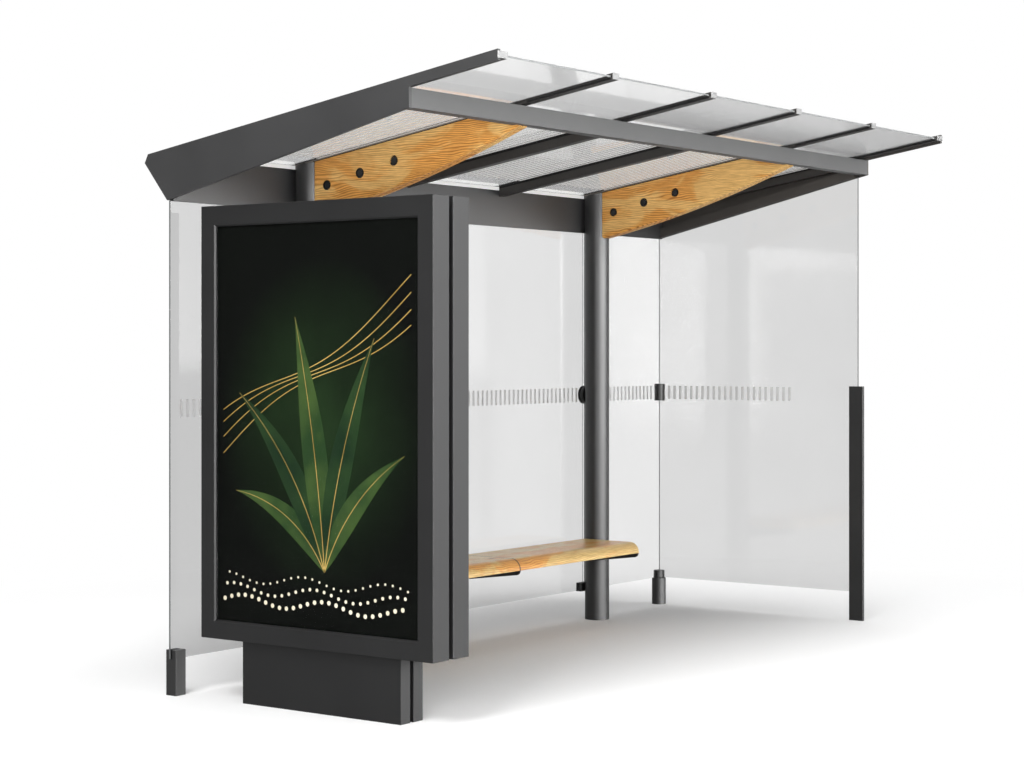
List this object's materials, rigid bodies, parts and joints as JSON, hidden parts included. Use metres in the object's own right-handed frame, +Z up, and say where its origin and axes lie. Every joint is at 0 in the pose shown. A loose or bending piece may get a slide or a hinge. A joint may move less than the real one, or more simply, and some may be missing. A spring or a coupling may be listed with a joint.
{
  "type": "bus shelter",
  "caption": "Bus shelter with a cantilevered glass roof on round columns, curved timber consoles, glass rear and side walls, a timber bench and a free-standing poster unit.",
  "frame": {"origin": "centre of the shelter's footprint box, on the ground", "axes": "+X to the right along the shelter as seen from the open front, +Y to the rear glass wall, +Z up"},
  "size_m": [4.258, 2.029, 2.8015],
  "materials": {
    "paint": "satin anthracite powder coat",
    "fitting": "satin near-black powder coat",
    "bolts": "black",
    "timber": "oiled light brown timber",
    "cap_metal": "satin",
    "roof_glass": "clear toughened glass",
    "wall_glass": "clear toughened glass",
    "case_glass": "clear toughened glass",
    "sheet": "printed poster sheet",
    "dark_core": "matt black"
  },
  "bodies": {
    "root": {"column_left": "paint", "console_plate_left": "paint", "timber_console_left": "timber", "console_bolts_left": "bolts", "side_fascia_left": "paint", "bench_seat_left": "timber", "column_right": "paint", "console_plate_right": "paint", "timber_console_right": "timber", "console_bolts_right": "bolts", "side_fascia_right": "paint", "bench_seat_right": "timber", "rafter_1": "paint", "rafter_2": "paint", "rafter_3": "paint", "rafter_4": "paint", "rafter_5": "paint", "rafter_6": "paint", "rafter_end_caps": "cap_metal", "front_beam": "paint", "rear_gutter": "paint", "roof_pane_1": "roof_glass", "roof_pane_2": "roof_glass", "roof_pane_3": "roof_glass", "roof_pane_4": "roof_glass", "roof_pane_5": "roof_glass", "back_pane_left": "wall_glass", "back_pane_middle": "wall_glass", "back_pane_right": "wall_glass", "side_pane_right": "wall_glass", "side_glass_rail": "paint", "column_clamps": "fitting", "base_clamps": "fitting", "corner_clamp": "fitting", "foot_left": "fitting", "foot_corner": "fitting", "side_post": "paint", "bench_rail": "paint", "bench_arms": "paint", "poster_case_outer": "paint", "poster_case_inner": "paint", "poster_panes": "case_glass", "poster_sheets": "sheet", "poster_case_core": "dark_core", "poster_pedestal": "paint"}
  },
  "joints": []
}
